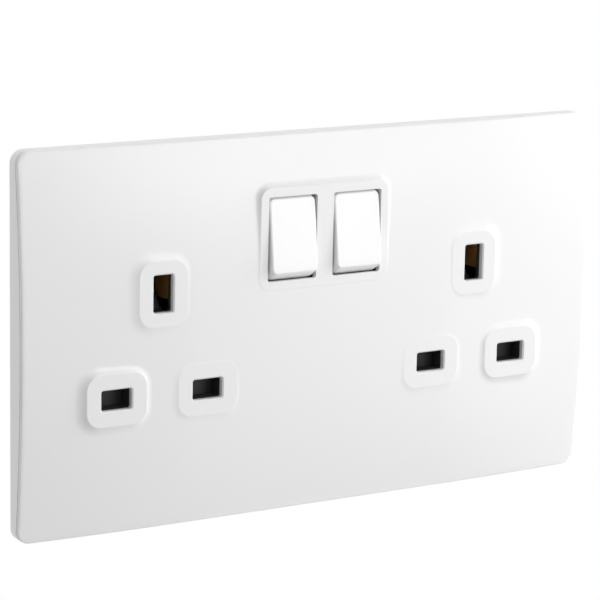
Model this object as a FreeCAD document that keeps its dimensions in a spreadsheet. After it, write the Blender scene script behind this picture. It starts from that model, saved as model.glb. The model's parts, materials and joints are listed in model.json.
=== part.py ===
import FreeCAD, Part
import math
import os
import re

import Sketcher
from FreeCAD import Placement, Rotation, Vector

# Switched twin socket outlet for a two gang wall box.
# X runs to the right, Y into the wall and Z up. The origin lies on the wall face, midway between
# the two box fixing holes, so the front of the plate is at negative Y.

SIZES = {
    # Helpers
    "past": 1.0,  # how far a cutting solid runs past what it cuts
    "sink": 0.05,  # how far joined solids run into each other
    # Front plate
    "plateSide": 12.9,  # fixing hole to the side edge
    "plateEnd": 11.15,  # mechanism to the top edge
    "plateDepth": 7.5,  # wall face to the flat tops of the pads
    "plateCorner": 3.0,
    "sideWall": 1.8,
    "faceWall": 1.4,
    "flatAcross": 32.0,  # half the width over which the face is bowed upwards only
    "bowAcross": 1.4,  # fall of the face from there to the middle of a short side
    "bowUp": 2.5,  # fall from the middle to a long side
    "padRise": 0.02,  # pads above the middle of the face
    "rimRadius": 0.45,
    "grooveSet": 0.5,  # rim to the shadow line round the plate's sides
    "grooveWidth": 0.35,
    "grooveDepth": 0.3,
    # Pin holes and the pads around them
    "socketSpacing": 80.5,
    "pinSpacing": 22.23,
    "earthRise": 22.23,
    "pinRow": -12.1,
    "pinHoleWidth": 7.3,
    "pinHoleHeight": 4.6,
    "earthHoleWidth": 4.8,
    "earthHoleHeight": 8.4,
    "holeCorner": 0.5,
    "holeBevel": 0.3,
    "padLong": 14.5,
    "padShort": 11.7,
    "padCorner": 3.5,
    "skirtWidth": 2.4,
    "skirtDepth": 1.6,
    # Switch bezel and its windows
    "bezelSide": 2.0,
    "bezelEnd": 1.975,
    "bezelShift": 0.1,
    "windowBar": 4.2,
    "bezelCorner": 2.5,
    "switchRow": 19.8,
    "windowWidth": 12.4,
    "windowHeight": 18.85,
    "windowCorner": 0.6,
    "windowLip": 0.9,  # thickness left at the window's ends
    "windowRelief": 0.7,
    # Rockers
    "rockerSideGap": 0.35,
    "rockerEndGap": 0.83,
    "rockerFace": 6.0,  # pivot to the flat face
    "pivotDepth": 5.4,  # bezel plane to the pivot
    "rockerTilt": 6.9,
    "rockerWall": 1.2,
    "rockerSkirt": 1.2,  # pivot to the edge of the skirt
    "rockerCheek": 2.6,
    "rockerCorner": 1.2,
    "rockerEdge": 0.45,
    "trunnionRadius": 1.1,
    "trunnionLength": 1.2,
    "hingeGap": 0.06,
    "stemRadius": 2.4,
    "stemLength": 5.0,
    "stemBoreDepth": 3.4,
    # Plungers and their springs
    "plungerRadius": 1.3,
    "plungerReach": 9.2,  # pivot to the centre of the round tip
    "plungerFit": 0.1,
    "plungerShoulder": 1.5,
    "plungerTail": 0.7,
    "plungerTailLength": 2.2,
    "plungerWire": 0.32,
    "plungerTurns": 7.0,
    "coilGap": 0.15,  # coil to its bore
    "springGap": 0.1,  # both ends of a spring together
    # Mechanism cover
    "flangeSide": 6.2,
    "flangeEnd": 6.5,
    "plateauEnd": 1.1,
    "plateauGap": 0.19,  # to the inside of the plate at the mechanism's corners
    "flangeThickness": 2.2,
    "flangeCorner": 5.0,
    "plateauCorner": 5.0,
    "coverWall": 1.2,
    "coverFront": 1.1,
    "islandMargin": 1.5,
    "islandFit": 0.3,
    "islandCorner": 2.0,
    "earthPocketGap": 0.3,
    "earthPocketHeight": 10.4,
    "earthPocketWall": 1.2,
    "wellGap": 0.45,
    "bearingWall": 1.4,
    "bearingHeight": 10.0,
    "bearingReach": 1.5,
    # Fixing to the wall box
    "fixingOut": 8.935,  # outermost pin to the fixing hole
    "screwRoom": 5.8,
    "fixingHole": 2.0,
    "lugSize": 12.0,
    "lugThickness": 3.0,
    "lugCorner": 3.0,
    "headRecess": 4.6,
    # Shutters
    "bladeWidth": 8.8,
    "bladeHeight": 6.1,
    "shutterThickness": 1.6,
    "shutterGap": 0.2,
    "stemWidth": 4.0,
    "rampWidth": 3.0,
    "rampDepth": 4.4,
    "rampRise": 6.0,
    "rampFoot": 3.0,
    "rampHeel": 1.2,
    "rampEnd": 2.4,  # its blunt end behind the earth hole
    "rampDrop": 3.93,  # middle of the earth hole down to the foot of the ramp
    "springSeat": 2.6,
    "shutterSpringRadius": 1.4,
    "shutterWire": 0.35,
    "shutterTurns": 8.0,
    "guideWall": 1.0,
    "guideGap": 0.25,
    # Rear housing
    "towerSide": 1.1,
    "towerEnd": 0.4,
    "housingWall": 1.6,
    "notchHeight": 13.0,
    "towerWall": 1.2,
    "towerCorner": 1.2,
    "towerGap": 0.2,  # behind the shutters
    # Pin sleeves
    "sleeveWidth": 6.0,
    "sleeveSheet": 0.7,
    "sleeveGap": 3.7,
    "sleeveMouth": 5.4,
    "sleeveSink": 0.6,  # mouth below the tower's front
    "sleeveThroat": 2.6,  # mouth to the narrow part
    "earthSheet": 0.6,
    "earthGap": 3.7,
    "earthMouth": 5.2,
    "earthSink": 0.2,  # mouth below the front of its pocket
    "earthThroat": 4.2,
    "earthBelow": 1.93,  # middle of the earth hole down to the sleeve's lower edge
    "earthAbove": 4.87,
    # Strips and bars
    "sheet": 0.8,
    "fixedHeight": 1.5,
    "levelGap": 0.7,
    "earthClear": 1.8,
    "floorGap": 0.2,
    "barGap": 0.1,
    "blockGap": 0.6,
    "blockSeat": 0.1,
    "crossEnd": 1.1,
    "stripWidth": 3.6,
    "stripInset": 2.0,
    "stripFit": 0.2,
    "barWidth": 2.6,
    "feedWidth": 5.0,
    "earthBarWidth": 6.0,
    "earthLegWidth": 5.0,
    # See-saw contact arms
    "armSheet": 0.8,
    "armWidth": 5.0,
    "armLength": 8.0,
    "armSlope": 8.0,
    "armTilt": 9.2,
    "armGap": 0.2,
    "earRadius": 0.5,
    "earLength": 1.1,
    "cheekGap": 0.3,
    "cheekSheet": 0.8,
    "cheekReach": 0.9,
    "cheekHeight": 4.0,
    "buttonRow": 7.0,
    "buttonRadius": 1.4,
    "buttonHeight": 0.8,
    "contactGap": 0.25,
    # Terminals and screws
    "blockWidth": 7.0,
    "blockDepth": 7.4,
    "blockHeight": 6.4,
    "blockEdge": 0.4,
    "earthBlockPitch": 8.0,
    "cableBore": 2.3,
    "cableDepth": 4.5,  # rear face of the block to the middle of the cable bore
    "cableEntry": 5.8,
    "terminalShank": 1.75,
    "terminalHead": 2.5,
    "terminalHeadHeight": 2.0,
    "terminalShankLength": 2.2,
    "threadFit": 0.03,
    "headGap": 0.25,
    "slotWidth": 0.9,
    "slotDepth": 0.8,
    "pegRadius": 2.0,
    "pegReach": 9.0,
    "pegOut": 5.25,
    "pegInset": 3.9,
    "pegHole": 1.23,
    "postRadius": 3.0,
    "screwClear": 0.3,
    "housingShank": 1.2,
    "housingHead": 2.4,
    "housingHeadHeight": 1.4,
    "housingShankLength": 14.0,
}

# What follows from those sizes, worked out in the same sheet. A name that ends in X is a distance from
# the middle, one in Row a height, and one in Level a depth.
FOLLOWING = {
    "socketX": "socketSpacing / 2",
    "pinX": "pinSpacing / 2",
    "outerPinX": "socketX + pinX",
    "earthRow": "pinRow + earthRise",
    "switchX": "(windowWidth + windowBar) / 2",
    "bezelWidth": "2 * (switchX + windowWidth / 2 + bezelSide)",
    "bezelHeight": "windowHeight + 2 * bezelEnd",
    "bezelRow": "switchRow + bezelShift",
    "rockerWidth": "windowWidth - 2 * rockerSideGap",
    "rockerRadius": "sqrt((windowHeight / 2 - rockerEndGap)^2 + pivotDepth^2)",
    "pivotLevel": "pivotDepth - plateDepth",
    "armLevel": "pivotLevel + plungerReach + plungerRadius + armGap + armSheet / 2",
    "buttonLevel": "armLevel + armSheet / 2 + buttonHeight + buttonRow * sin(armTilt - armSlope) + contactGap",
    "contactLevel": "buttonLevel + fixedHeight",
    "feedLevel": "contactLevel + sheet + levelGap",
    "earthLevel": "feedLevel + sheet + earthClear",
    "floorLevel": "earthLevel + sheet + floorGap",
    "housingDepth": "floorLevel + housingWall",
    "towerWidth": "sleeveWidth + 2 * towerSide",
    "towerHeight": "sleeveMouth + 2 * sleeveSheet + 2 * towerEnd",
    "barRow": "pinRow - towerHeight / 2 - towerWall - barGap - barWidth / 2",
    "blockTopRow": "barRow - barWidth / 2 - blockGap",
    "blockRow": "blockTopRow - blockHeight / 2",
    "blockX": "(socketX - pinX) / 2",
    "plateauLowRow": "blockTopRow - blockHeight - blockSeat - housingWall",
    "plateauTopRow": "switchRow + rockerRadius + wellGap + plateauEnd",
    "plateauRow": "(plateauTopRow + plateauLowRow) / 2",
    "plateauHeight": "plateauTopRow - plateauLowRow",
    "plateauWidth": "2 * (outerPinX + towerWidth / 2 + towerWall + housingWall)",
    "fixingX": "outerPinX + fixingOut",
    "notchX": "fixingX - screwRoom",
    "flangeWidth": "2 * (fixingX + flangeSide)",
    "flangeHeight": "2 * (plateauTopRow + flangeEnd)",
    "plateWidth": "2 * (fixingX + plateSide)",
    "plateHeight": "2 * (plateauTopRow + plateEnd)",
    "bowUpRadius": "(plateHeight / 2)^2 / (2 * bowUp)",
    "bowAcrossRadius": "(plateWidth / 2 - flatAcross)^2 / (2 * bowAcross)",
    "faceLevel": "padRise - plateDepth",
    "plateauBow": "plateauTopRow^2 / (2 * bowUpRadius)"
                  " + (plateauWidth / 2 - flatAcross)^2 / (2 * bowAcrossRadius)",
    "plateauDepth": "plateDepth - padRise - faceWall - plateauBow - plateauGap",
    "ceilingLevel": "coverFront - plateauDepth",
    "islandLevel": "faceWall - plateDepth",
    "earthPocketWidth": "earthMouth + 2 * earthSheet + 2 * earthPocketGap",
    "earthLowRow": "earthRow - earthBelow",
    "earthHighRow": "earthRow + earthAbove",
    "rampRow": "earthRow - rampDrop",
    "shutterLevel": "ceilingLevel + shutterGap",
    "towerLevel": "shutterLevel + shutterThickness + towerGap",
    "sleeveLevel": "towerLevel + sleeveSink",
    "throatLevel": "sleeveLevel + sleeveThroat",
    "earthFrontLevel": "islandLevel + earthPocketWall + earthSink",
    "earthThroatLevel": "earthFrontLevel + earthThroat",
    "pegX": "socketX + pegOut",
    "pegLowRow": "plateauLowRow + pegInset",
    "pegTopRow": "switchRow + bearingHeight / 2 + pegRadius",
    "crossWidth": "2 * (switchX + armWidth / 2 + cheekGap + cheekSheet + crossEnd)",
}

skirtRings = 6

doc = FreeCAD.newDocument("TwinSocket")
sheet = doc.addObject("Spreadsheet::Sheet", "Sizes")
for row, (alias, size) in enumerate([*SIZES.items(), *FOLLOWING.items()], start=1):
    sheet.set(f"A{row}", alias)
    sheet.set(f"B{row}", f"={size}" if alias in FOLLOWING else str(size))
    sheet.setAlias(f"B{row}", alias)
doc.recompute()

SIDES = (("left", -1), ("right", 1))
PINS = (("neutral", -1), ("line", 1))
FRONT = Rotation(Vector(1, 0, 0), 90)  # a profile's x and y become X and Z, and it grows to the front
SIDE = Rotation(Vector(1, 1, 1), 120)  # x and y become Y and Z, and it grows to the right
TOP = Rotation()
TURNS = {"x": SIDE, "y": FRONT, "z": TOP}


def bound(text):
    """The expression with each alias pointed at the sheet."""
    names = SIZES | FOLLOWING
    return re.sub(r"[A-Za-z]\w*", lambda word: "Sizes." * (word.group() in names) + word.group(), str(text))


def value(text):
    return float(sheet.evalExpression(bound(text)))


def bind(thing, **sizes):
    for name, text in sizes.items():
        thing.setExpression(name.replace("__", "."), bound(text))
    return thing


def place(thing, x=0, y=0, z=0, turn=TOP):
    thing.Placement = Placement(Vector(value(x), value(y), value(z)), turn)
    return bind(thing, Placement__Base__x=x, Placement__Base__y=y, Placement__Base__z=z)


def fix(sketch, kind, *picks, size):
    """A dimension of the sketch, tied to the sheet."""
    number = sketch.addConstraint(Sketcher.Constraint(kind, *picks, value(size)))
    sketch.setExpression(f"Constraints[{number}]", bound(size))


def rounded_outline(name, width, height, corner):
    """Rectangle with round corners, centred on the sketch's origin."""
    x, y, r = value(width) / 2, value(height) / 2, value(corner)
    sketch = doc.addObject("Sketcher::SketchObject", name)
    ends = ((r - x, y, x - r, y), (x, y - r, x, r - y), (x - r, -y, r - x, -y), (-x, r - y, -x, y - r))
    for x0, y0, x1, y1 in ends:
        sketch.addGeometry(Part.LineSegment(Vector(x0, y0, 0), Vector(x1, y1, 0)))
    for quarter, (cx, cy) in enumerate(((x - r, y - r), (x - r, r - y), (r - x, r - y), (r - x, y - r))):
        start = -quarter * math.pi / 2
        circle = Part.Circle(Vector(cx, cy, 0), Vector(0, 0, 1), r)
        sketch.addGeometry(Part.ArcOfCircle(circle, start, start + math.pi / 2))
    for line in range(4):
        sketch.addConstraint(Sketcher.Constraint("Tangent", line, 2, line + 4, 2))
        sketch.addConstraint(Sketcher.Constraint("Tangent", (line + 1) % 4, 1, line + 4, 1))
        sketch.addConstraint(Sketcher.Constraint("Vertical" if line % 2 else "Horizontal", line))
    for arc in (5, 6, 7):
        sketch.addConstraint(Sketcher.Constraint("Equal", 4, arc))
    sketch.addConstraint(Sketcher.Constraint("Symmetric", 4, 3, 6, 3, -1, 1))
    fix(sketch, "Radius", 4, size=corner)
    fix(sketch, "DistanceX", 3, 1, 1, 1, size=width)
    fix(sketch, "DistanceY", 2, 1, 0, 1, size=height)
    return sketch


def grow(name, sketch, length):
    solid = doc.addObject("Part::Extrusion", name)
    solid.Base = sketch
    solid.DirMode = "Normal"
    solid.Solid = True
    return bind(solid, LengthFwd=length)


def slab(name, x, z, width, height, corner, back, front):
    """Block with round corners in front view, from the depth back to the depth front."""
    sketch = place(rounded_outline(f"{name}_outline", width, height, corner), x, back, z, FRONT)
    return grow(name, sketch, f"({back}) - ({front})")


def profile(name, points, start, length, axis):
    """Straight-edged profile in the plane across the axis, grown along it from start."""
    sketch = doc.addObject("Sketcher::SketchObject", f"{name}_profile")
    corners = [Vector(value(x), value(y), 0) for x, y in points]
    for index, corner in enumerate(corners):
        sketch.addGeometry(Part.LineSegment(corner, corners[(index + 1) % len(corners)]))
    for index, (x, y) in enumerate(points):
        sketch.addConstraint(Sketcher.Constraint("Coincident", index, 2, (index + 1) % len(points), 1))
        fix(sketch, "DistanceX", -1, 1, index, 1, size=x)
        fix(sketch, "DistanceY", -1, 1, index, 1, size=y)
    place(sketch, turn=TURNS[axis], **{axis: start})
    return grow(name, sketch, length)


def box(name, x0, x1, y0, y1, z0, z1):
    solid = place(doc.addObject("Part::Box", name), x0, y0, z0)
    return bind(solid, Length=f"({x1}) - ({x0})", Width=f"({y1}) - ({y0})", Height=f"({z1}) - ({z0})")


def rod(name, radius, length, x, y, z, turn):
    solid = place(doc.addObject("Part::Cylinder", name), x, y, z, turn)
    return bind(solid, Radius=radius, Height=length)


INWARD = Rotation(Vector(1, 0, 0), -90)  # a rod grows into the wall
ACROSS = Rotation(Vector(0, 1, 0), 90)  # a rod grows to the right


def fuse(name, *parts):
    solid = doc.addObject("Part::MultiFuse", name)
    solid.Shapes = list(parts)
    solid.Refine = True
    return solid


def common(name, *parts):
    solid = doc.addObject("Part::MultiCommon", name)
    solid.Shapes = list(parts)
    return solid


def group(name, *parts):
    """Separate solids that share one file."""
    solids = doc.addObject("Part::Compound", name)
    solids.Links = list(parts)
    return solids


def cut(name, base, *tools):
    solid = doc.addObject("Part::Cut", name)
    solid.Base = base
    solid.Tool = tools[0] if len(tools) == 1 else fuse(f"{name}_tools", *tools)
    solid.Refine = True
    return solid


def rounded(name, base, radius, chosen):
    """The base with a fillet of the given radius on each edge that chosen picks."""
    doc.recompute()
    solid = doc.addObject("Part::Fillet", name)
    solid.Base = base
    size = value(radius)
    edges = enumerate(base.Shape.Edges, start=1)
    solid.Edges = [(number, size, size) for number, edge in edges if chosen(edge)]
    return solid


def near(number, target, within=1e-4):
    return abs(number - target) < within


def spring(name, radius, wire, turns, length):
    """Coil spring along Z, from its lower seat at the origin."""
    coil = doc.addObject("Part::Helix", f"{name}_path")
    bind(coil, Radius=radius, Height=f"({length}) - {wire}", Pitch=f"(({length}) - {wire}) / {turns}")
    ring = place(doc.addObject("Part::Circle", f"{name}_wire"), radius, 0, 0, Rotation(Vector(1, 0, 0), 90))
    bind(ring, Radius=f"{wire} / 2")
    solid = doc.addObject("Part::Sweep", name)
    solid.Sections = [ring]
    solid.Spine = (coil, ["Edge1"])
    solid.Solid = True
    solid.Frenet = True
    return solid


def holes():
    """The six pin holes: (name, x, z, width, height, pad width, pad height)."""
    for side, sign in SIDES:
        socket = f"{sign} * socketX"
        for pin, way in PINS:
            yield (f"{pin}_{side}", f"{socket} + {way} * pinX", "pinRow",
                   "pinHoleWidth", "pinHoleHeight", "padLong", "padShort")
        yield (f"earth_{side}", socket, "earthRow",
               "earthHoleWidth", "earthHoleHeight", "padShort", "padLong")


def dome(name, apex):
    """All that lies behind the bowed face: straight across its middle, and swung back at both ends."""
    radius, half = value("bowUpRadius"), value("plateHeight / 2 + past")
    middle, back = value(f"{apex} + bowUpRadius"), value("past")
    lean = math.asin(half / radius)
    edge = middle - radius * math.cos(lean)
    sketch = doc.addObject("Sketcher::SketchObject", f"{name}_arc")
    circle = Part.Circle(Vector(middle, 0, 0), Vector(0, 0, 1), radius)
    sketch.addGeometry(Part.ArcOfCircle(circle, math.pi - lean, math.pi + lean))
    corners = [Vector(edge, half, 0), Vector(back, half, 0), Vector(back, -half, 0), Vector(edge, -half, 0)]
    for first, second in zip(corners, corners[1:]):
        sketch.addGeometry(Part.LineSegment(first, second))
    for picks in ((0, 1, 1, 1), (1, 2, 2, 1), (2, 2, 3, 1), (3, 2, 0, 2)):
        sketch.addConstraint(Sketcher.Constraint("Coincident", *picks))
    sketch.addConstraint(Sketcher.Constraint("Horizontal", 1))
    sketch.addConstraint(Sketcher.Constraint("Horizontal", 3))
    sketch.addConstraint(Sketcher.Constraint("Vertical", 2))
    sketch.addConstraint(Sketcher.Constraint("PointOnObject", 0, 3, -1))
    fix(sketch, "Radius", 0, size="bowUpRadius")
    fix(sketch, "DistanceX", -1, 1, 0, 3, size=f"{apex} + bowUpRadius")
    fix(sketch, "DistanceX", -1, 1, 2, 1, size="past")
    fix(sketch, "DistanceY", -1, 1, 1, 1, size="plateHeight / 2 + past")
    fix(sketch, "DistanceY", -1, 1, 3, 1, size="-plateHeight / 2 - past")
    place(sketch, x="-flatAcross", turn=SIDE)
    middle = grow(f"{name}_middle", sketch, "2 * flatAcross")
    left = doc.addObject("Part::Revolution", f"{name}_left")
    left.Source = sketch
    left.Axis = Vector(0, 0, -1)
    left.Base = Vector(-value("flatAcross"), value(f"{apex} + bowAcrossRadius"), 0)
    left.Solid = True
    bind(left, Base__x="-flatAcross", Base__y=f"{apex} + bowAcrossRadius",
         Angle="asin((plateWidth / 2 + past - flatAcross) / bowAcrossRadius)")
    right = doc.addObject("Part::Mirroring", f"{name}_right")
    right.Source = left
    right.Normal = Vector(1, 0, 0)
    return fuse(name, middle, left, right)


def raised_flat(name, x, z, width, height, corner):
    """Flat-topped pad whose hollow skirt runs out into the domed face."""
    lean = 2 * math.atan(value("skirtDepth / skirtWidth"))  # slope of the skirt where it leaves the pad
    sections = []
    for number in range(skirtRings):
        slope = lean * (1 - number / (skirtRings - 1))
        out = 1 - math.sin(slope) / math.sin(lean)
        down = (math.cos(slope) - math.cos(lean)) / (1 - math.cos(lean))
        wide = f"{width} + 2 * {out} * skirtWidth"
        tall = f"{height} + 2 * {out} * skirtWidth"
        ring = rounded_outline(f"{name}_ring{number}", wide, tall, f"{corner} + {out} * skirtWidth")
        sections.append(place(ring, x, f"{down} * skirtDepth - plateDepth", z, FRONT))
    skirt = doc.addObject("Part::Loft", f"{name}_skirt")
    skirt.Sections = sections
    skirt.Solid = True
    skirt.Ruled = True
    base = slab(f"{name}_base", x, z, f"{width} + 2 * skirtWidth", f"{height} + 2 * skirtWidth",
                f"{corner} + skirtWidth", "faceWall + bowUp - plateDepth", "skirtDepth - plateDepth")
    return skirt, base


def shadow_line():
    """Fine groove round the plate's sides, just behind its rim."""
    block = slab("line_block", 0, 0, "plateWidth + 2 * past", "plateHeight + 2 * past", "plateCorner + past",
                 0, "-plateDepth")
    core = slab("line_core", 0, 0, "plateWidth - 2 * grooveDepth", "plateHeight - 2 * grooveDepth",
                "plateCorner - grooveDepth", "past", "-plateDepth - past")
    band = common("line_band", cut("line_ring", block, core), dome("line_front", "faceLevel + grooveSet"))
    return cut("shadow_line", band, dome("line_back", "faceLevel + grooveSet + grooveWidth"))


def front_plate():
    block = slab("plate_block", 0, 0, "plateWidth", "plateHeight", "plateCorner", 0, "-plateDepth - past")
    skin = common("plate_skin", block, dome("plate_dome", "faceLevel"))
    seam = value("flatAcross")
    skin = rounded("plate_rim", skin, "rimRadius", lambda edge: edge.BoundBox.YMax < 0
                   and not near(abs(edge.CenterOfMass.x), seam, 0.01))
    skin = cut("plate_lined", skin, shadow_line())
    inner = slab("plate_inner_block", 0, 0, "plateWidth - 2 * sideWall", "plateHeight - 2 * sideWall",
                 "plateCorner - sideWall / 2", "past", "-plateDepth - past")
    hollow = common("plate_hollow", inner, dome("plate_inner_dome", "faceLevel + faceWall"))
    flats = []
    cuts = []
    for name, x, z, width, height, pad_width, pad_height in holes():
        flats += raised_flat(f"pad_{name}", x, z, pad_width, pad_height, "padCorner")
        cuts.append(slab(f"hole_{name}", x, z, width, height, "holeCorner", 0, "-plateDepth - past"))
        rings = []
        for grown, depth in ((1, 0), (0, 1)):
            wide = f"{width} + 2 * {grown} * holeBevel"
            tall = f"{height} + 2 * {grown} * holeBevel"
            ring = rounded_outline(f"bevel_{name}_{depth}", wide, tall, f"holeCorner + {grown} * holeBevel")
            rings.append(place(ring, x, f"{depth} * holeBevel - plateDepth", z, FRONT))
        bevel = doc.addObject("Part::Loft", f"bevel_{name}")
        bevel.Sections = rings
        bevel.Solid = True
        bevel.Ruled = True
        cuts.append(bevel)
        cuts.append(slab(f"seat_{name}", x, z, f"{pad_width} - 2 * islandMargin + 2 * islandFit",
                         f"{pad_height} - 2 * islandMargin + 2 * islandFit", "islandCorner + islandFit",
                         0, "islandLevel"))
    flats += raised_flat("bezel", 0, "bezelRow", "bezelWidth", "bezelHeight", "bezelCorner")
    for side, sign in SIDES:
        x = f"{sign} * switchX"
        cuts.append(slab(f"window_{side}", x, "switchRow", "windowWidth", "windowHeight", "windowCorner",
                         0, "-plateDepth - past"))
        cuts.append(slab(f"relief_{side}", x, "switchRow", "windowWidth", "windowHeight + 2 * windowRelief",
                         "windowCorner", 0, "windowLip - plateDepth"))
    whole = fuse("plate_whole", skin, *flats)
    shell = cut("plate_shell", whole, hollow)
    return cut("front_plate", shell, *cuts)


def rocker(side, sign):
    """Drum segment with a flat face, hollow behind, with a bored stem and two trunnions."""
    name = f"rocker_{side}"
    width = "rockerWidth"
    half = "rockerWidth / 2"
    drum = rod(f"{name}_drum", "rockerRadius", width, f"-{half}", 0, 0, ACROSS)
    outline = (("-rockerFace", "rockerRadius"), ("-rockerSkirt", "rockerRadius"),
               ("rockerSkirt", "rockerCheek"), ("rockerSkirt", "-rockerCheek"),
               ("-rockerSkirt", "-rockerRadius"), ("-rockerFace", "-rockerRadius"))
    side_form = profile(f"{name}_form", outline, f"-{half}", width, "x")
    body = common(f"{name}_body", drum, side_form)
    face = value("rockerFace")
    edge_x = value(half)
    body = rounded(f"{name}_corners", body, "rockerCorner", lambda edge: near(abs(edge.CenterOfMass.x), edge_x)
                   and edge.Curve.TypeId == "Part::GeomCircle")
    body = rounded(f"{name}_edges", body, "rockerEdge", lambda edge: near(edge.BoundBox.YMin, -face)
                   and near(edge.BoundBox.YMax, -face))
    inside = "rockerRadius - 2 * rockerWall"
    hollow = slab(f"{name}_hollow", 0, 0, f"{width} - 2 * rockerWall", f"2 * ({inside})", "rockerWall",
                  "rockerSkirt + past", "rockerWall - rockerFace")
    drum_inside = rod(f"{name}_inside", "rockerRadius - rockerWall", f"{width} + 2 * past", f"-{half} - past",
                      0, 0, ACROSS)
    hollow = common(f"{name}_space", hollow, drum_inside)
    body = cut(f"{name}_cap", body, hollow)
    stem = rod(f"{name}_stem", "stemRadius", "stemLength + rockerFace - rockerWall / 2",
               0, "rockerWall / 2 - rockerFace", 0, INWARD)
    pins = rod(f"{name}_pins", "trunnionRadius", f"{width} + 2 * trunnionLength",
               f"-{half} - trunnionLength", 0, 0, ACROSS)
    pin_space = rod(f"{name}_pin_space", "trunnionRadius + past", f"{width} - 2 * rockerWall",
                    f"rockerWall - {half}", 0, 0, ACROSS)
    pins = cut(f"{name}_trunnions", pins, pin_space)
    body = fuse(f"{name}_solid", body, stem, pins)
    bore = rod(f"{name}_bore", "plungerRadius + plungerFit", "stemLength + stemBoreDepth + past",
               0, "-stemBoreDepth", 0, INWARD)
    body = cut(name, body, bore)
    return at_rocker(body, sign)


def at_rocker(solid, sign):
    """Puts a piece that is made about the pivot where its rocker stands, switched off."""
    solid.Placement = Placement(Vector(), Rotation(Vector(-1, 0, 0), value("rockerTilt")))
    solid.setExpression("Placement.Rotation.Angle", bound("rockerTilt"))
    return bind(solid, Placement__Base__x=f"{sign} * switchX", Placement__Base__y="pivotLevel",
                Placement__Base__z="switchRow")


def plunger(side, sign):
    name = f"plunger_{side}"
    tail = rod(f"{name}_tail", "plungerTail", "plungerTailLength + sink",
               0, "plungerShoulder - plungerTailLength", 0, INWARD)
    stem = rod(f"{name}_stem", "plungerRadius", "plungerReach - plungerShoulder",
               0, "plungerShoulder", 0, INWARD)
    tip = place(doc.addObject("Part::Sphere", f"{name}_tip"), 0, "plungerReach", 0)
    bind(tip, Radius="plungerRadius")
    return at_rocker(fuse(name, tail, stem, tip), sign)


def plunger_spring(side, sign):
    name = f"plunger_spring_{side}"
    radius = "plungerRadius + plungerFit - coilGap - plungerWire / 2"
    coil = spring(f"{name}_coil", radius, "plungerWire", "plungerTurns",
                  "plungerShoulder + stemBoreDepth - springGap")
    place(coil, 0, "plungerWire / 2 + springGap / 2 - stemBoreDepth", 0, INWARD)
    return at_rocker(group(name, coil), sign)


def mechanism_cover():
    flange = slab("flange", 0, 0, "flangeWidth", "flangeHeight", "flangeCorner", 0, "-flangeThickness")
    plateau = slab("plateau", 0, "plateauRow", "plateauWidth", "plateauHeight", "plateauCorner",
                   0, "-plateauDepth")
    cavity = slab("cavity", 0, "plateauRow", "plateauWidth - 2 * coverWall", "plateauHeight - 2 * coverWall",
                  "plateauCorner - coverWall", "past", "ceilingLevel")
    solids = [cut("cover_shell", fuse("cover_block", flange, plateau), cavity)]
    cuts = []
    for name, x, z, width, height, pad_width, pad_height in holes():
        solids.append(slab(f"island_{name}", x, z, f"{pad_width} - 2 * islandMargin",
                           f"{pad_height} - 2 * islandMargin", "islandCorner", "ceilingLevel", "islandLevel"))
        cuts.append(slab(f"cover_hole_{name}", x, z, width, height, "holeCorner", 0, "-plateDepth"))
        if name.startswith("earth"):
            cuts.append(slab(f"pocket_{name}", x, z, "earthPocketWidth", "earthPocketHeight", "holeCorner",
                             0, "islandLevel + earthPocketWall"))
    low = "switchRow - bearingHeight / 2"
    high = "switchRow + bearingHeight / 2"
    inner = "(switchX - windowWidth / 2)"
    outer = "(switchX + windowWidth / 2)"
    solids.append(box("bearing_middle", f"-{inner}", inner, "-plateauDepth", "bearingReach", low, high))
    for side, sign in SIDES:
        x = f"{sign} * ({outer} + bearingWall / 2)"
        solids.append(box(f"bearing_{side}", f"{x} - bearingWall / 2", f"{x} + bearingWall / 2",
                          "-plateauDepth", "bearingReach", low, high))
        cuts.append(slab(f"well_{side}", f"{sign} * switchX", "switchRow", "windowWidth",
                         "2 * (rockerRadius + wellGap)", "windowCorner", "bearingReach + past", "-plateDepth"))
        lug = f"{sign} * fixingX"
        solids.append(slab(f"lug_{side}", lug, 0, "lugSize", "lugSize", "lugCorner", 0, "-lugThickness"))
        cuts.append(rod(f"fixing_{side}", "fixingHole", "plateDepth + past", lug, "-plateDepth", 0, INWARD))
        cuts.append(rod(f"recess_{side}", "headRecess", "plateDepth - lugThickness",
                        lug, "-plateDepth", 0, INWARD))
        solids += shutter_guides(side, sign)
    for name, x, z in pegs():
        solids.append(rod(f"peg_{name}", "pegRadius", "pegReach - ceilingLevel",
                          x, "ceilingLevel", z, INWARD))
        cuts.append(rod(f"peg_hole_{name}", "pegHole", "pegReach", x, "past", z, INWARD))
    cuts.append(rod("trunnion_hole", "trunnionRadius + hingeGap", f"2 * ({outer} + bearingWall + past)",
                    f"-({outer} + bearingWall + past)", "pivotLevel", "switchRow", ACROSS))
    return cut("mechanism_cover", fuse("cover_solid", *solids), *cuts)


def pegs():
    """Where the housing screws go: (name, x, z)."""
    yield "top", 0, "pegTopRow"
    yield "left", "-pegX", "pegLowRow"
    yield "right", "pegX", "pegLowRow"


def shutter_guides(side, sign):
    """Ribs beside the shutter, along its travel."""
    reach = "(pinX + bladeWidth / 2 + guideGap)"
    low = "pinRow - bladeHeight / 2 - rampRise"
    high = "pinRow + bladeHeight / 2"
    ribs = []
    for number, way in enumerate((-1, 1)):
        middle = f"{sign} * socketX + {way} * ({reach} + guideWall / 2)"
        ribs.append(box(f"guide_{side}_{number}", f"{middle} - guideWall / 2", f"{middle} + guideWall / 2",
                        "ceilingLevel", "shutterLevel + shutterThickness", low, high))
    return ribs


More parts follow.
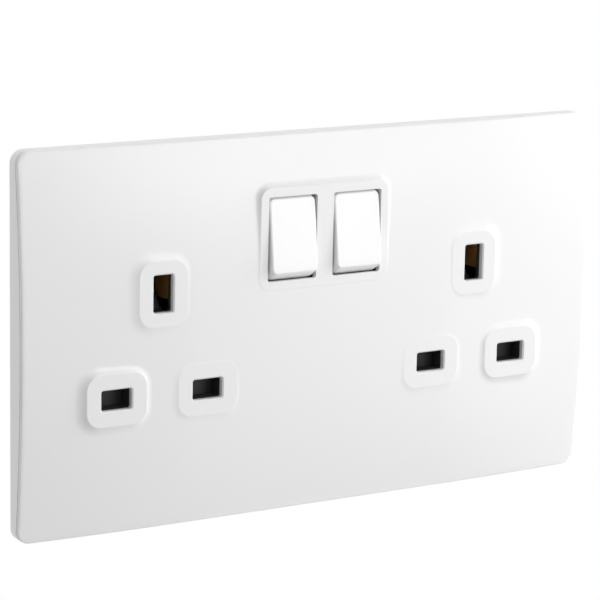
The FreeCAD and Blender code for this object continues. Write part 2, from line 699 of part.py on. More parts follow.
def shutter(side, sign):
    """Blades over the pin holes, with a stem up to the ramp behind the earth hole."""
    name = f"shutter_{side}"
    x = f"{sign} * socketX"
    front = "shutterLevel"
    back = f"({front} + shutterThickness)"
    reach = "pinX + bladeWidth / 2"
    low = "pinRow - bladeHeight / 2"
    high = "pinRow + bladeHeight / 2"
    blades = box(f"{name}_blades", f"{x} - ({reach})", f"{x} + {reach}", front, back, low, high)
    stem = box(f"{name}_stem", f"{x} - stemWidth / 2", f"{x} + stemWidth / 2", front, back, low, "rampRow")
    seat = box(f"{name}_seat", f"{x} - springSeat / 2", f"{x} + springSeat / 2", front,
               f"{front} + 2 * shutterSpringRadius", low, f"{low} + springSeat")
    outline = ((front, "rampRow - rampFoot"), (front, "rampRow"), (f"{front} + rampDepth", "rampRow + rampRise"),
               (f"{front} + rampDepth", "rampRow + rampRise - rampEnd"), (back, "rampRow - rampHeel"),
               (back, "rampRow - rampFoot"))
    ramp = profile(f"{name}_ramp", outline, f"{x} - rampWidth / 2", "rampWidth", "x")
    return fuse(name, blades, stem, seat, ramp)


def shutter_spring(side, sign):
    name = f"shutter_spring_{side}"
    low = "plateauLowRow + coverWall + springGap"
    length = f"pinRow - bladeHeight / 2 - ({low}) - springGap"
    coil = spring(f"{name}_coil", "shutterSpringRadius - shutterWire / 2", "shutterWire", "shutterTurns", length)
    middle = "shutterLevel + shutterSpringRadius"
    return place(group(name, coil), f"{sign} * socketX", middle, f"{low} + shutterWire / 2")


def pins():
    """Line and neutral pins: (kind, side, x)."""
    for side, sign in SIDES:
        for pin, way in PINS:
            yield pin, side, f"{sign} * socketX + {way} * pinX"


def rear_housing():
    tray = slab("tray", 0, "plateauRow", "plateauWidth", "plateauHeight", "plateauCorner", "housingDepth", 0)
    space = slab("tray_space", 0, "plateauRow", "plateauWidth - 2 * housingWall",
                 "plateauHeight - 2 * housingWall", "plateauCorner - housingWall", "floorLevel", "-past")
    outer_notches = []
    inner_notches = []
    for side, sign in SIDES:
        middle = f"{sign} * (notchX + plateauWidth) / 2"
        for kind, wall, kept in (("outer", "0", outer_notches), ("inner", "housingWall", inner_notches)):
            half = f"(plateauWidth - notchX) / 2 + {wall}"
            kept.append(box(f"notch_{kind}_{side}", f"{middle} - ({half})", f"{middle} + {half}", "-2 * past",
                            "housingDepth + past", f"-notchHeight / 2 - {wall}", f"notchHeight / 2 + {wall}"))
    tray = cut("tray_outside", tray, *outer_notches)
    space = cut("tray_inside", space, *inner_notches)
    solids = [cut("tray_shell", tray, space)]
    cuts = []
    for pin, side, x in pins():
        name = f"{pin}_{side}"
        solids.append(slab(f"tower_{name}", x, "pinRow", "towerWidth + 2 * towerWall",
                           "towerHeight + 2 * towerWall", "towerCorner + towerWall", "floorLevel", "towerLevel"))
        cuts.append(slab(f"tower_bore_{name}", x, "pinRow", "towerWidth", "towerHeight", "towerCorner",
                         "floorLevel", "towerLevel - past"))
        half = "(stripWidth / 2 + stripFit)"
        reach = "pinRow + towerHeight / 2 + towerWall + past" if pin == "line" else "pinRow"
        start = "pinRow" if pin == "line" else "pinRow - towerHeight / 2 - towerWall - past"
        cuts.append(box(f"tower_slot_{name}", f"{x} - stripInset - {half}", f"{x} - stripInset + {half}",
                        "towerLevel - past", "contactLevel + sheet + stripFit", start, reach))
    for name, x, z in pegs():
        solids.append(rod(f"post_{name}", "postRadius", "floorLevel - pegReach", x, "pegReach", z, INWARD))
        cuts.append(rod(f"post_hole_{name}", "housingShank + screwClear", "housingDepth",
                        x, "pegReach - past", z, INWARD))
        cuts.append(rod(f"post_head_{name}", "housingHead + screwClear", "housingDepth", x,
                        "housingDepth - housingHeadHeight", z, INWARD))
    for name, x in blocks():
        cuts.append(rod(f"screw_way_{name}", "terminalHead + headGap", "housingDepth", x, "blockDepth",
                        "blockRow", INWARD))
        cuts.append(box(f"cable_way_{name}", f"{x} - cableEntry / 2", f"{x} + cableEntry / 2",
                        "floorLevel - cableDepth - cableEntry / 2", "floorLevel - cableDepth + cableEntry / 2",
                        "plateauLowRow - past", "blockTopRow - blockHeight"))
    return cut("rear_housing", fuse("housing_solid", *solids), *cuts)


def blocks():
    """Terminal blocks: (name, x)."""
    yield "line", 0
    yield "neutral", "blockX"
    yield "earth_left", "-blockX - earthBlockPitch / 2"
    yield "earth_right", "earthBlockPitch / 2 - blockX"


def terminal(kind, x):
    name = f"{kind}_terminal" if "earth" not in kind else kind.replace("earth", "earth_terminal")
    block = slab(f"{name}_block", x, "blockRow", "blockWidth", "blockHeight", "blockEdge",
                 "floorLevel", "floorLevel - blockDepth")
    cable = rod(f"{name}_bore", "cableBore", "blockHeight + 2 * past", x, "floorLevel - cableDepth",
                "blockTopRow - blockHeight - past", TOP)
    thread = rod(f"{name}_thread", "terminalShank + threadFit", "cableDepth", x, "floorLevel - cableDepth",
                 "blockRow", INWARD)
    return name, cut(name, block, cable, thread)


def screw(name, x, z, seat, shank, shank_length, head, head_height):
    """Cheese-head screw driven from the rear, with its head's underside at the depth seat."""
    body = rod(f"{name}_shank", shank, f"{shank_length} + sink", x, f"{seat} - {shank_length}", z, INWARD)
    cap = rod(f"{name}_head", head, head_height, x, seat, z, INWARD)
    slot = box(f"{name}_slot", f"{x} - {head} - past", f"{x} + {head} + past",
               f"{seat} + {head_height} - slotDepth", f"{seat} + {head_height} + past",
               f"{z} - slotWidth / 2", f"{z} + slotWidth / 2")
    return cut(name, fuse(f"{name}_solid", body, cap), slot)


def screws():
    terminal_set = [screw(f"terminal_screw_{kind}", x, "blockRow", "(floorLevel + headGap)", "terminalShank",
                          "terminalShankLength", "terminalHead", "terminalHeadHeight") for kind, x in blocks()]
    housing_set = [screw(f"housing_screw_{name}", x, z, "(housingDepth - housingHeadHeight)", "housingShank",
                         "housingShankLength", "housingHead", "housingHeadHeight") for name, x, z in pegs()]
    return {"terminal_screws": group("terminal_screws", *terminal_set),
            "housing_screws": group("housing_screws", *housing_set)}


def pin_sleeve(pin, side, x):
    """Sprung clip for a line or neutral pin: two leaves on a flat base."""
    name = f"{pin}_sleeve_{side}"
    half = "sleeveGap / 2"
    flare = "sleeveMouth / 2"
    back = "contactLevel"
    z = "pinRow"
    outline = ((back, f"{z} - {half} - sleeveSheet"), (back, f"{z} + {half} + sleeveSheet"),
               ("throatLevel", f"{z} + {half} + sleeveSheet"), ("sleeveLevel", f"{z} + {flare} + sleeveSheet"),
               ("sleeveLevel", f"{z} + {flare}"), ("throatLevel", f"{z} + {half}"),
               (f"{back} - sleeveSheet", f"{z} + {half}"), (f"{back} - sleeveSheet", f"{z} - {half}"),
               ("throatLevel", f"{z} - {half}"), ("sleeveLevel", f"{z} - {flare}"),
               ("sleeveLevel", f"{z} - {flare} - sleeveSheet"), ("throatLevel", f"{z} - {half} - sleeveSheet"))
    return name, profile(name, outline, f"{x} - sleeveWidth / 2", "sleeveWidth", "x")


def earth_sleeve(side, sign):
    name = f"earth_sleeve_{side}"
    x = f"{sign} * socketX"
    half = "earthGap / 2"
    flare = "earthMouth / 2"
    back = "earthLevel"
    outline = ((f"{x} - {half} - earthSheet", back), (f"{x} - {half} - earthSheet", "earthThroatLevel"),
               (f"{x} - {flare} - earthSheet", "earthFrontLevel"), (f"{x} - {flare}", "earthFrontLevel"),
               (f"{x} - {half}", "earthThroatLevel"), (f"{x} - {half}", f"{back} - earthSheet"),
               (f"{x} + {half}", f"{back} - earthSheet"), (f"{x} + {half}", "earthThroatLevel"),
               (f"{x} + {flare}", "earthFrontLevel"), (f"{x} + {flare} + earthSheet", "earthFrontLevel"),
               (f"{x} + {half} + earthSheet", "earthThroatLevel"), (f"{x} + {half} + earthSheet", back))
    return name, profile(name, outline, "earthLowRow", "earthHighRow - earthLowRow", "z")


def line_strip(side, sign):
    """Strip from a line sleeve to the fixed contact of its switch."""
    name = f"line_strip_{side}"
    run = f"({sign} * socketX + pinX - stripInset)"
    button_x = f"{sign} * switchX"
    left, right = (run, button_x) if sign < 0 else (button_x, run)
    reach = "stripWidth / 2"
    button_z = "(switchRow + buttonRow)"
    low = "pinRow - sleeveGap / 2"
    down_left, down_right = f"{run} - {reach}", f"{run} + {reach}"
    top, under = f"{button_z} + {reach}", f"{button_z} - {reach}"
    if sign < 0:
        outline = ((down_left, low), (down_left, top), (f"{right} + {reach}", top),
                   (f"{right} + {reach}", under), (down_right, under), (down_right, low))
    else:
        outline = ((down_right, low), (down_right, top), (f"{left} - {reach}", top),
                   (f"{left} - {reach}", under), (down_left, under), (down_left, low))
    flat = profile(f"{name}_flat", outline, "contactLevel + sheet", "sheet", "y")
    button = rod(f"{name}_button", "buttonRadius", "contactLevel - (buttonLevel) + sink", button_x, "buttonLevel",
                 button_z, INWARD)
    return name, fuse(name, flat, button)


def neutral_busbar():
    left = "-socketX - pinX - stripInset"
    right = "socketX - pinX - stripInset"
    half = "stripWidth / 2"
    top = "pinRow + sleeveGap / 2"
    low = "barRow - barWidth / 2"
    high = "barRow + barWidth / 2"
    tab = "blockX"
    outline = ((f"{left} - {half}", low), (f"{left} - {half}", top), (f"{left} + {half}", top),
               (f"{left} + {half}", high), (f"{right} - {half}", high), (f"{right} - {half}", top),
               (f"{right} + {half}", top), (f"{right} + {half}", low), (f"{tab} + {half}", low),
               (f"{tab} + {half}", "blockTopRow"), (f"{tab} - {half}", "blockTopRow"), (f"{tab} - {half}", low))
    return profile("neutral_busbar", outline, "contactLevel + sheet", "sheet", "y")


def line_feed_bar():
    """Bar from the line terminal to the cradles that carry both see-saw contacts."""
    half = "feedWidth / 2"
    cross = "crossWidth / 2"
    low, high = f"switchRow - {half}", f"switchRow + {half}"
    outline = ((f"-{half}", "blockTopRow"), (f"-{half}", low), (f"-{cross}", low), (f"-{cross}", high),
               (cross, high), (cross, low), (half, low), (half, "blockTopRow"))
    solids = [profile("feed_flat", outline, "feedLevel + sheet", "sheet", "y")]
    cuts = []
    for side, sign in SIDES:
        for number, way in enumerate((-1, 1)):
            inner = f"{sign} * switchX + {way} * (armWidth / 2 + cheekGap + cheekSheet / 2)"
            solids.append(box(f"cheek_{side}_{number}", f"{inner} - cheekSheet / 2", f"{inner} + cheekSheet / 2",
                              "armLevel - cheekReach", "feedLevel + sheet / 2",
                              "switchRow - cheekHeight / 2", "switchRow + cheekHeight / 2"))
    cuts.append(rod("cradle_hole", "earRadius + hingeGap", "crossWidth + 2 * past", "-crossWidth / 2 - past", "armLevel",
                    "switchRow", ACROSS))
    return cut("line_feed_bar", fuse("feed_solid", *solids), *cuts)


def earth_bar():
    reach = "socketX + earthGap / 2 + earthSheet"
    low, high = "earthRow - earthBarWidth / 2", "earthRow + earthBarWidth / 2"
    leg_left, leg_right = "-blockX - earthLegWidth / 2", "earthLegWidth / 2 - blockX"
    outline = ((f"-({reach})", low), (f"-({reach})", high), (reach, high), (reach, low), (leg_right, low),
               (leg_right, "blockTopRow"), (leg_left, "blockTopRow"), (leg_left, low))
    return profile("earth_bar", outline, "earthLevel + sheet", "sheet", "y")


def contact_arm(side, sign):
    """Shallow V of strip that rocks on two ears, with a contact button on its upper half."""
    name = f"contact_arm_{side}"
    halves = []
    for half, turn in (("upper", "armSlope"), ("lower", "180 - armSlope")):
        pieces = [box(f"{name}_{half}_leaf", "-armWidth / 2", "armWidth / 2", "-armSheet / 2", "armSheet / 2",
                      "-sink", "armLength")]
        if half == "upper":
            pieces.append(rod(f"{name}_button", "buttonRadius", "buttonHeight + armSheet / 2", 0, 0,
                              "buttonRow", INWARD))
        solids = fuse(f"{name}_{half}", *pieces) if len(pieces) > 1 else group(f"{name}_{half}", *pieces)
        solids.Placement = Placement(Vector(), Rotation(Vector(1, 0, 0), value(turn)))
        solids.setExpression("Placement.Rotation.Angle", bound(turn))
        halves.append(solids)
    ears = rod(f"{name}_ears", "earRadius", "armWidth + 2 * earLength", "-armWidth / 2 - earLength", 0, 0, ACROSS)
    arm = fuse(name, *halves, ears)
    arm.Placement = Placement(Vector(), Rotation(Vector(1, 0, 0), value("armTilt")))
    arm.setExpression("Placement.Rotation.Angle", bound("armTilt"))
    bind(arm, Placement__Base__x=f"{sign} * switchX", Placement__Base__y="armLevel",
         Placement__Base__z="switchRow")
    return name, arm


def build():
    parts = {"front_plate": front_plate(), "mechanism_cover": mechanism_cover(), "rear_housing": rear_housing()}
    for side, sign in SIDES:
        parts[f"rocker_{side}"] = rocker(side, sign)
        parts[f"plunger_{side}"] = plunger(side, sign)
        parts[f"plunger_spring_{side}"] = plunger_spring(side, sign)
        parts[f"shutter_{side}"] = shutter(side, sign)
        parts[f"shutter_spring_{side}"] = shutter_spring(side, sign)
        for name, solid in (contact_arm(side, sign), line_strip(side, sign), earth_sleeve(side, sign)):
            parts[name] = solid
    for pin, side, x in pins():
        name, solid = pin_sleeve(pin, side, x)
        parts[name] = solid
    parts["neutral_busbar"] = neutral_busbar()
    parts["line_feed_bar"] = line_feed_bar()
    parts["earth_bar"] = earth_bar()
    for kind, x in blocks():
        name, solid = terminal(kind, x)
        parts[name] = solid
    parts.update(screws())
    return parts


parts = build()
doc.recompute()
for thing in doc.Objects:
    if "Invalid" in thing.State or "Error" in thing.State:
        raise RuntimeError(f"{thing.Name} failed: {thing.State}")
os.makedirs("parts", exist_ok=True)
for name, solid in parts.items():
    solid.Label = name
    if solid.Shape.isNull() or not solid.Shape.isValid() or not solid.Shape.Solids:
        raise RuntimeError(f"{name} has no valid shape")
for name, solid in parts.items():
    solid.Shape.exportStep(f"parts/{name}.step")
    print(f"{name}: {len(solid.Shape.Solids)} solids, {solid.Shape.Volume:.1f} mm3")
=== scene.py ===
import json
import math

import bmesh
import bpy
from mathutils import Matrix, Vector


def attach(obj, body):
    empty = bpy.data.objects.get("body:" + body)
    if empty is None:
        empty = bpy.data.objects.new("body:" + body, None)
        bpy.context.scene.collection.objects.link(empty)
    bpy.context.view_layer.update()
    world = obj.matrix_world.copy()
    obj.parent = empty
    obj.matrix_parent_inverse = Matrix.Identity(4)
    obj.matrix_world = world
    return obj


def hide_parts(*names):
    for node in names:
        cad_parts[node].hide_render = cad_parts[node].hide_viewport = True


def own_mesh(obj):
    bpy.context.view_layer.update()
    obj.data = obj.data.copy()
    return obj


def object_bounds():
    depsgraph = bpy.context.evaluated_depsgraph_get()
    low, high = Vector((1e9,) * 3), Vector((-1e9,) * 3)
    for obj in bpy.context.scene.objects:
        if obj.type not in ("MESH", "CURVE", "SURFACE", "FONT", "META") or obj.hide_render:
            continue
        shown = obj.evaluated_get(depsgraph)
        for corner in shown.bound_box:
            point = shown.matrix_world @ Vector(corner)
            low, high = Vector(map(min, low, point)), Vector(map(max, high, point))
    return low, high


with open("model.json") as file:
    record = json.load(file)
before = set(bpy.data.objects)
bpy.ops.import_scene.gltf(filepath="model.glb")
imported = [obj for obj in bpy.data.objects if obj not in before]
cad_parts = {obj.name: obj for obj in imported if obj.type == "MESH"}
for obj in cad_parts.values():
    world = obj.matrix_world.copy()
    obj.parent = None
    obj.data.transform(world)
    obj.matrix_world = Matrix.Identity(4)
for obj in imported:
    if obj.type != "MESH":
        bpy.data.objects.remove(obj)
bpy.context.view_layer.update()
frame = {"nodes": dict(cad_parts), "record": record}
scene = bpy.context.scene
scene.view_settings.view_transform = "Standard"


# Helpers for shader nodes
def addNode(tree, kind, inputs=None, **settings):
    node = tree.nodes.new(kind)
    for name, value in settings.items():
        setattr(node, name, value)
    for name, value in (inputs or {}).items():
        if isinstance(value, bpy.types.NodeSocket):
            tree.links.new(value, node.inputs[name])
        else:
            node.inputs[name].default_value = value
    return node


def mathNode(tree, operation, first, second, clamp=False):
    return addNode(tree, "ShaderNodeMath", {0: first, 1: second}, operation=operation, use_clamp=clamp).outputs[0]


def mixColour(tree, factor, first, second, blend="MIX"):
    node = addNode(tree, "ShaderNodeMix", data_type="RGBA", blend_type=blend)
    for name, value in (("Factor_Float", factor), ("A_Color", first), ("B_Color", second)):
        socket = next(s for s in node.inputs if s.identifier == name)
        if isinstance(value, bpy.types.NodeSocket):
            tree.links.new(value, socket)
        else:
            socket.default_value = value
    return next(s for s in node.outputs if s.identifier == "Result_Color")


def spread(tree, value, low, high, toLow=0.0, toHigh=1.0):
    return addNode(tree, "ShaderNodeMapRange", {"Value": value, "From Min": low, "From Max": high,
                                                "To Min": toLow, "To Max": toHigh}).outputs[0]


def newGroup(name, inputs, outputs):
    group = bpy.data.node_groups.new(name, "ShaderNodeTree")
    for label, kind, default in inputs:
        socket = group.interface.new_socket(label, in_out="INPUT", socket_type=kind)
        socket.default_value = default
    for label, kind in outputs:
        group.interface.new_socket(label, in_out="OUTPUT", socket_type=kind)
    return group, group.nodes.new("NodeGroupInput"), group.nodes.new("NodeGroupOutput")


# Moulded plastic: cloudy flow in the colour, fine orange peel, and handling marks in the gloss
mouldedNoise = {
    "cloudSize": 38.0, "cloudDetail": 5.0, "cloudRoughness": 0.6,
    "smearSize": 60.0, "smearDetail": 2.0, "smearRoughness": 0.5, "smearFrom": 0.25, "smearTo": 0.75,
    "peelDetail": 2.0,
}


def makeMouldedSkin():
    noise = mouldedNoise
    group, given, out = newGroup(
        "mouldedSkin",
        [("Colour", "NodeSocketColor", (0.8, 0.8, 0.8, 1)), ("Cloud", "NodeSocketFloat", 0.02),
         ("Roughness", "NodeSocketFloat", 0.2), ("Marks", "NodeSocketFloat", 0.05),
         ("Peel size", "NodeSocketFloat", 700.0), ("Peel", "NodeSocketFloat", 0.2)],
        [("Colour", "NodeSocketColor"), ("Roughness", "NodeSocketFloat"), ("Height", "NodeSocketFloat")])
    place = addNode(group, "ShaderNodeTexCoord").outputs["Object"]
    cloud = addNode(group, "ShaderNodeTexNoise", {"Vector": place, "Scale": noise["cloudSize"],
                                                  "Detail": noise["cloudDetail"],
                                                  "Roughness": noise["cloudRoughness"]})
    centred = mathNode(group, "SUBTRACT", cloud.outputs["Fac"], 0.5)
    shade = mathNode(group, "MULTIPLY", centred, given.outputs["Cloud"])
    level = mathNode(group, "ADD", shade, 1.0)
    grey = addNode(group, "ShaderNodeCombineColor", {0: level, 1: level, 2: level}).outputs[0]
    colour = mixColour(group, 1.0, given.outputs["Colour"], grey, "MULTIPLY")
    smear = addNode(group, "ShaderNodeTexNoise", {"Vector": place, "Scale": noise["smearSize"],
                                                  "Detail": noise["smearDetail"],
                                                  "Roughness": noise["smearRoughness"]})
    wiped = spread(group, smear.outputs["Fac"], noise["smearFrom"], noise["smearTo"])
    rough = mathNode(group, "ADD", given.outputs["Roughness"],
                     mathNode(group, "MULTIPLY", wiped, given.outputs["Marks"]), clamp=True)
    peel = addNode(group, "ShaderNodeTexNoise", {"Vector": place, "Scale": given.outputs["Peel size"],
                                                 "Detail": noise["peelDetail"]})
    height = mathNode(group, "MULTIPLY", peel.outputs["Fac"], given.outputs["Peel"])
    for name, value in (("Colour", colour), ("Roughness", rough), ("Height", height)):
        group.links.new(value, out.inputs[name])
    return group


# Rolled or drawn metal: fine lines one way, dull patches and a little tarnish
metalNoise = {
    "stretch": (1.0, 0.06, 1.0), "lineDetail": 3.0, "lineDulling": 0.12,
    "patchSize": 260.0, "patchDetail": 6.0, "patchRoughness": 0.65, "patchFrom": 0.4, "patchTo": 0.75,
    "patchDulling": 0.35,
}


def makeWorkedMetal():
    noise = metalNoise
    group, given, out = newGroup(
        "workedMetal",
        [("Colour", "NodeSocketColor", (0.7, 0.7, 0.7, 1)), ("Tarnish", "NodeSocketColor", (0.3, 0.2, 0.1, 1)),
         ("Age", "NodeSocketFloat", 0.3), ("Roughness", "NodeSocketFloat", 0.3),
         ("Lines", "NodeSocketFloat", 0.4), ("Line size", "NodeSocketFloat", 900.0)],
        [("Colour", "NodeSocketColor"), ("Roughness", "NodeSocketFloat"), ("Height", "NodeSocketFloat")])
    place = addNode(group, "ShaderNodeTexCoord").outputs["Object"]
    stretched = addNode(group, "ShaderNodeMapping", {"Vector": place, "Scale": noise["stretch"]}).outputs[0]
    lines = addNode(group, "ShaderNodeTexNoise", {"Vector": stretched, "Scale": given.outputs["Line size"],
                                                  "Detail": noise["lineDetail"]}).outputs["Fac"]
    patches = addNode(group, "ShaderNodeTexNoise", {"Vector": place, "Scale": noise["patchSize"],
                                                    "Detail": noise["patchDetail"],
                                                    "Roughness": noise["patchRoughness"]}).outputs["Fac"]
    patched = spread(group, patches, noise["patchFrom"], noise["patchTo"])
    dull = mathNode(group, "MULTIPLY", patched, given.outputs["Age"])
    colour = mixColour(group, dull, given.outputs["Colour"], given.outputs["Tarnish"])
    byPatches = mathNode(group, "MULTIPLY", dull, noise["patchDulling"])
    byLines = mathNode(group, "MULTIPLY", lines, noise["lineDulling"])
    rough = mathNode(group, "ADD", given.outputs["Roughness"],
                     mathNode(group, "ADD", byPatches, byLines), clamp=True)
    height = mathNode(group, "MULTIPLY", lines, given.outputs["Lines"])
    for name, value in (("Colour", colour), ("Roughness", rough), ("Height", height)):
        group.links.new(value, out.inputs[name])
    return group


mouldedSkin = makeMouldedSkin()
workedMetal = makeWorkedMetal()


def makeMaterial(name, group, values, shader, bumpDistance):
    material = bpy.data.materials.new(name)
    material.use_nodes = True
    tree = material.node_tree
    tree.nodes.clear()
    skin = addNode(tree, "ShaderNodeGroup", node_tree=group)
    for label, value in values.items():
        skin.inputs[label].default_value = value
    bump = addNode(tree, "ShaderNodeBump", {"Height": skin.outputs["Height"], "Strength": 1.0,
                                            "Distance": bumpDistance})
    surface = addNode(tree, "ShaderNodeBsdfPrincipled", {"Base Color": skin.outputs["Colour"],
                                                         "Roughness": skin.outputs["Roughness"],
                                                         "Normal": bump.outputs[0], **shader})
    addNode(tree, "ShaderNodeOutputMaterial", {"Surface": surface.outputs[0]})
    return material


# One finish for each material slot of the record
finishes = {
    "white_plate": dict(
        group=mouldedSkin, bumpDistance=0.000004, shader={"IOR": 1.5, "Specular IOR Level": 0.5},
        values={"Colour": (0.86, 0.86, 0.86, 1), "Cloud": 0.012, "Roughness": 0.3, "Marks": 0.03,
                "Peel size": 900.0, "Peel": 0.3}),
    "white_rocker": dict(
        group=mouldedSkin, bumpDistance=0.000004, shader={"IOR": 1.5, "Specular IOR Level": 0.5},
        values={"Colour": (0.90, 0.90, 0.90, 1), "Cloud": 0.01, "Roughness": 0.24, "Marks": 0.03,
                "Peel size": 1100.0, "Peel": 0.3}),
    "dark_moulding": dict(
        group=mouldedSkin, bumpDistance=0.00001, shader={"IOR": 1.5},
        values={"Colour": (0.022, 0.022, 0.024, 1), "Cloud": 0.35, "Roughness": 0.5, "Marks": 0.2,
                "Peel size": 1600.0, "Peel": 1.0}),
    "black_moulding": dict(
        group=mouldedSkin, bumpDistance=0.00001, shader={"IOR": 1.5},
        values={"Colour": (0.006, 0.006, 0.006, 1), "Cloud": 0.4, "Roughness": 0.5, "Marks": 0.15,
                "Peel size": 1500.0, "Peel": 0.8}),
    "natural_moulding": dict(
        group=mouldedSkin, bumpDistance=0.000006, shader={"IOR": 1.48, "Subsurface Weight": 0.1,
                                                          "Subsurface Radius": (0.001, 0.0009, 0.0008)},
        values={"Colour": (0.72, 0.70, 0.64, 1), "Cloud": 0.06, "Roughness": 0.35, "Marks": 0.1,
                "Peel size": 1200.0, "Peel": 0.6}),
    "brass": dict(
        group=workedMetal, bumpDistance=0.000008, shader={"Metallic": 1.0},
        values={"Colour": (0.86, 0.60, 0.27, 1), "Tarnish": (0.40, 0.23, 0.10, 1), "Age": 0.45,
                "Roughness": 0.26, "Lines": 0.6, "Line size": 900.0}),
    "zinc_steel": dict(
        group=workedMetal, bumpDistance=0.000006, shader={"Metallic": 1.0},
        values={"Colour": (0.62, 0.63, 0.65, 1), "Tarnish": (0.34, 0.32, 0.26, 1), "Age": 0.3,
                "Roughness": 0.28, "Lines": 0.5, "Line size": 1100.0}),
    "spring_steel": dict(
        group=workedMetal, bumpDistance=0.000004, shader={"Metallic": 1.0},
        values={"Colour": (0.48, 0.49, 0.51, 1), "Tarnish": (0.16, 0.14, 0.12, 1), "Age": 0.35,
                "Roughness": 0.3, "Lines": 0.6, "Line size": 1500.0}),
}
materials = {slot: makeMaterial(slot, **settings) for slot, settings in finishes.items()}
nodeSlots = {part["node"]: part["material_slot"] for part in frame["record"]["subparts"]}
bodyOf = {node: body for body, nodes in frame["record"]["behaviour"]["bodies"].items() for node in nodes}
print("materials made")

# Front of the plate: a face bowed both ways, with flat pads and a bezel that run out into it through soft coves
plate = {
    "halfWidth": 0.0732, "halfHeight": 0.04265, "faceLevel": -0.00748, "flatLevel": -0.0075,
    "flatAcross": 0.032, "bowAcross": 0.0014, "middleAcross": 1.25,
    "bowUp": 0.0025, "middleUp": 3.3,
    "rim": 0.00045, "frontBy": -0.003, "facingFront": -0.3, "cutEvery": 0.0024, "cutWithin": 1e-7,
    "socketX": 0.04025, "pinX": 0.011115, "pinRow": -0.0121, "earthRow": 0.01013,
    "padLong": 0.0145, "padShort": 0.0117, "padCorner": 0.0035,
    "innerCove": 0.007, "outerCove": 0.0034,
    "bezel": (0.0, 0.0199, 0.033, 0.0228), "bezelCorner": 0.0025, "bezelCove": 0.0016,
    "pinHole": (0.0079, 0.0052), "earthHole": (0.0054, 0.009), "holeCorner": 0.0008,
    "switchX": 0.0083, "switchRow": 0.0198, "window": (0.0124, 0.01885), "windowCorner": 0.0006,
    "edgeRound": 0.00025, "leastCosine": 0.05,
    "coveSteps": 9, "edgeSteps": 4, "cornerParts": 9, "sideCuts": 9,
}


# Each flat is its middle, its two sizes, its corner radius and its cove radius
def raisedFlats():
    flats = [(*plate["bezel"], plate["bezelCorner"], plate["bezelCove"])]
    for side in (-1, 1):
        socket = side * plate["socketX"]
        flats.append((socket, plate["earthRow"], plate["padShort"], plate["padLong"],
                      plate["padCorner"], plate["innerCove"]))
        for way in (-1, 1):
            cove = plate["outerCove"] if way == side else plate["innerCove"]
            flats.append((socket + way * plate["pinX"], plate["pinRow"], plate["padLong"], plate["padShort"],
                          plate["padCorner"], cove))
    return flats


def arcFall(radius, reach):
    return radius - math.sqrt(radius ** 2 - reach ** 2)


# The face follows arcs at its rim, and is flatter upwards and fuller outwards in its middle
def faceDepth(x, z):
    upRadius = plate["halfHeight"] ** 2 / (2 * plate["bowUp"])
    acrossRadius = (plate["halfWidth"] - plate["flatAcross"]) ** 2 / (2 * plate["bowAcross"])
    upRim = plate["halfHeight"] - plate["rim"]
    acrossRim = plate["halfWidth"] - plate["rim"] - plate["flatAcross"]
    beyond = max(0.0, abs(x) - plate["flatAcross"])
    up, across = abs(z) / upRim, beyond / acrossRim
    arc = acrossRadius - math.sqrt((acrossRadius - arcFall(upRadius, z)) ** 2 - beyond ** 2)
    flatterUp = arcFall(upRadius, upRim) * up ** plate["middleUp"] - arcFall(upRadius, z)
    fullerOut = arcFall(acrossRadius, acrossRim) * across ** plate["middleAcross"]
    fullerOut -= arcFall(acrossRadius, beyond)
    return plate["faceLevel"] + arc + flatterUp * (1 - across ** 2) + fullerOut * (1 - up ** 2)


# How far a point lies outside a flat's rounded outline, and which way is straight out
def outsideBy(flat, x, z):
    midX, midZ, width, height, corner = flat[:5]
    apart = Vector((abs(x - midX) - width / 2 + corner, abs(z - midZ) - height / 2 + corner))
    signs = Vector((math.copysign(1, x - midX), math.copysign(1, z - midZ)))
    past = Vector((max(apart.x, 0.0), max(apart.y, 0.0)))
    distance = past.length + min(max(apart.x, apart.y), 0.0) - corner
    way = past.normalized() if past.length > 0 else Vector((apart.x > apart.y, apart.x <= apart.y))
    return distance, way * signs


# Widths of the rounded edge and of the cove, for the height of the flat over the face
def coveSpans(flat, x, z):
    height = faceDepth(x, z) - plate["flatLevel"]
    slope = math.acos(max(plate["leastCosine"], 1 - height / (flat[5] + plate["edgeRound"])))
    return math.sin(slope) * plate["edgeRound"], math.sin(slope) * flat[5]


def frontDepth(flats, x, z):
    face = faceDepth(x, z)
    for flat in flats:
        distance = outsideBy(flat, x, z)[0]
        inner, outer = coveSpans(flat, x, z)
        if distance <= -inner:
            return plate["flatLevel"]
        if distance <= 0:
            turn = distance + inner
            return plate["flatLevel"] + plate["edgeRound"] - math.sqrt(plate["edgeRound"] ** 2 - turn ** 2)
        if distance < outer:
            return face - flat[5] + math.sqrt(flat[5] ** 2 - (outer - distance) ** 2)
    return face


# Outlines of the pin holes' bevels and of the windows, inside which nothing belongs to the front
def openEdges():
    gaps = [(side * plate["switchX"], plate["switchRow"], *plate["window"], plate["windowCorner"], 0)
            for side in (-1, 1)]
    for side in (-1, 1):
        socket = side * plate["socketX"]
        gaps.append((socket, plate["earthRow"], *plate["earthHole"], plate["holeCorner"], 0))
        for way in (-1, 1):
            gaps.append((socket + way * plate["pinX"], plate["pinRow"], *plate["pinHole"], plate["holeCorner"], 0))
    return gaps


def isFrontFace(face, gaps):
    place = face.calc_center_median()
    if face.normal.y > plate["facingFront"] or place.y > plate["frontBy"]:
        return False
    if abs(place.x) > plate["halfWidth"] - plate["rim"] or abs(place.z) > plate["halfHeight"] - plate["rim"]:
        return False
    return all(outsideBy(gap, place.x, place.z)[0] > 0 for gap in gaps)


